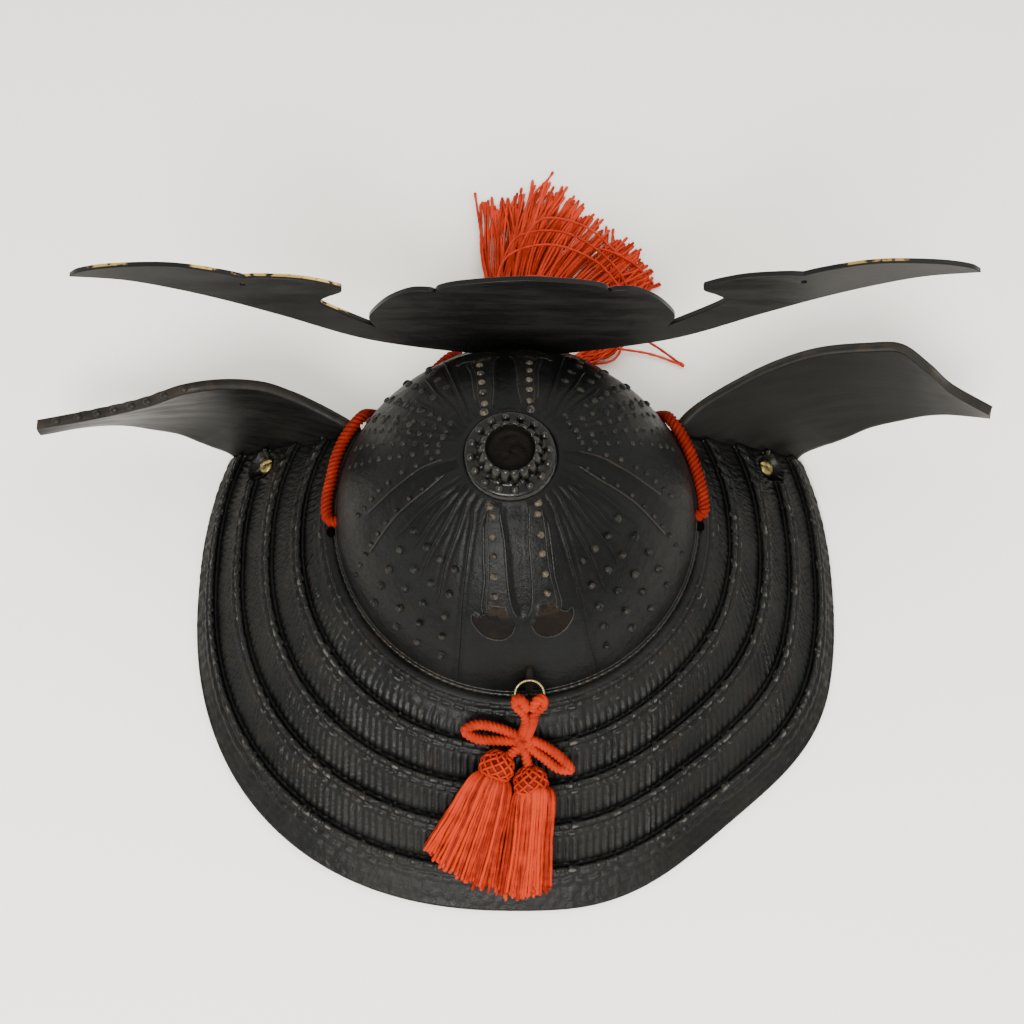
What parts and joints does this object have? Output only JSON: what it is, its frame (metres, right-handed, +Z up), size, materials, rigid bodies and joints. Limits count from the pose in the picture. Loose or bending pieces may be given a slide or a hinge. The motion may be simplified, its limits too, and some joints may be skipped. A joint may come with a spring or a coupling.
{
  "type": "ornamental samurai helmet",
  "caption": "Ornamental samurai helmet: riveted iron bowl, layered neck guard, turned-back wings, winged crest, and orange cords with tassels.",
  "frame": {"origin": "on the surface under the middle of the metal helmet's box", "axes": "+Z up, -Y to the helmet's front where the crest stands, +X to the helmet's own left"},
  "size_m": [0.33, 0.2698, 0.0938],
  "materials": {
    "bowl": "black satin",
    "crown_fitting": "black satin",
    "neck_guard": "black satin",
    "wing_left": "brushed black satin",
    "wing_right": "brushed black satin",
    "screw_left": "aged",
    "screw_right": "aged",
    "visor": "black satin",
    "crest": "black lacquered back, gilt front",
    "ring_hook": "dark patina",
    "ring": "aged",
    "agemaki_knot": "plied cord",
    "rear_tassel_left": "plied cord",
    "rear_tassel_right": "plied cord",
    "chin_cord_left": "twisted cord",
    "chin_cord_right": "twisted cord",
    "front_tassel": "plied cord"
  },
  "bodies": {
    "root": {"bowl": "bowl", "crown_fitting": "crown_fitting", "neck_guard": "neck_guard", "wing_left": "wing_left", "wing_right": "wing_right", "screw_left": "screw_left", "screw_right": "screw_right", "visor": "visor", "crest": "crest", "ring_hook": "ring_hook", "ring": "ring", "agemaki_knot": "agemaki_knot", "rear_tassel_left": "rear_tassel_left", "rear_tassel_right": "rear_tassel_right", "chin_cord_left": "chin_cord_left", "chin_cord_right": "chin_cord_right", "front_tassel": "front_tassel"}
  },
  "joints": []
}
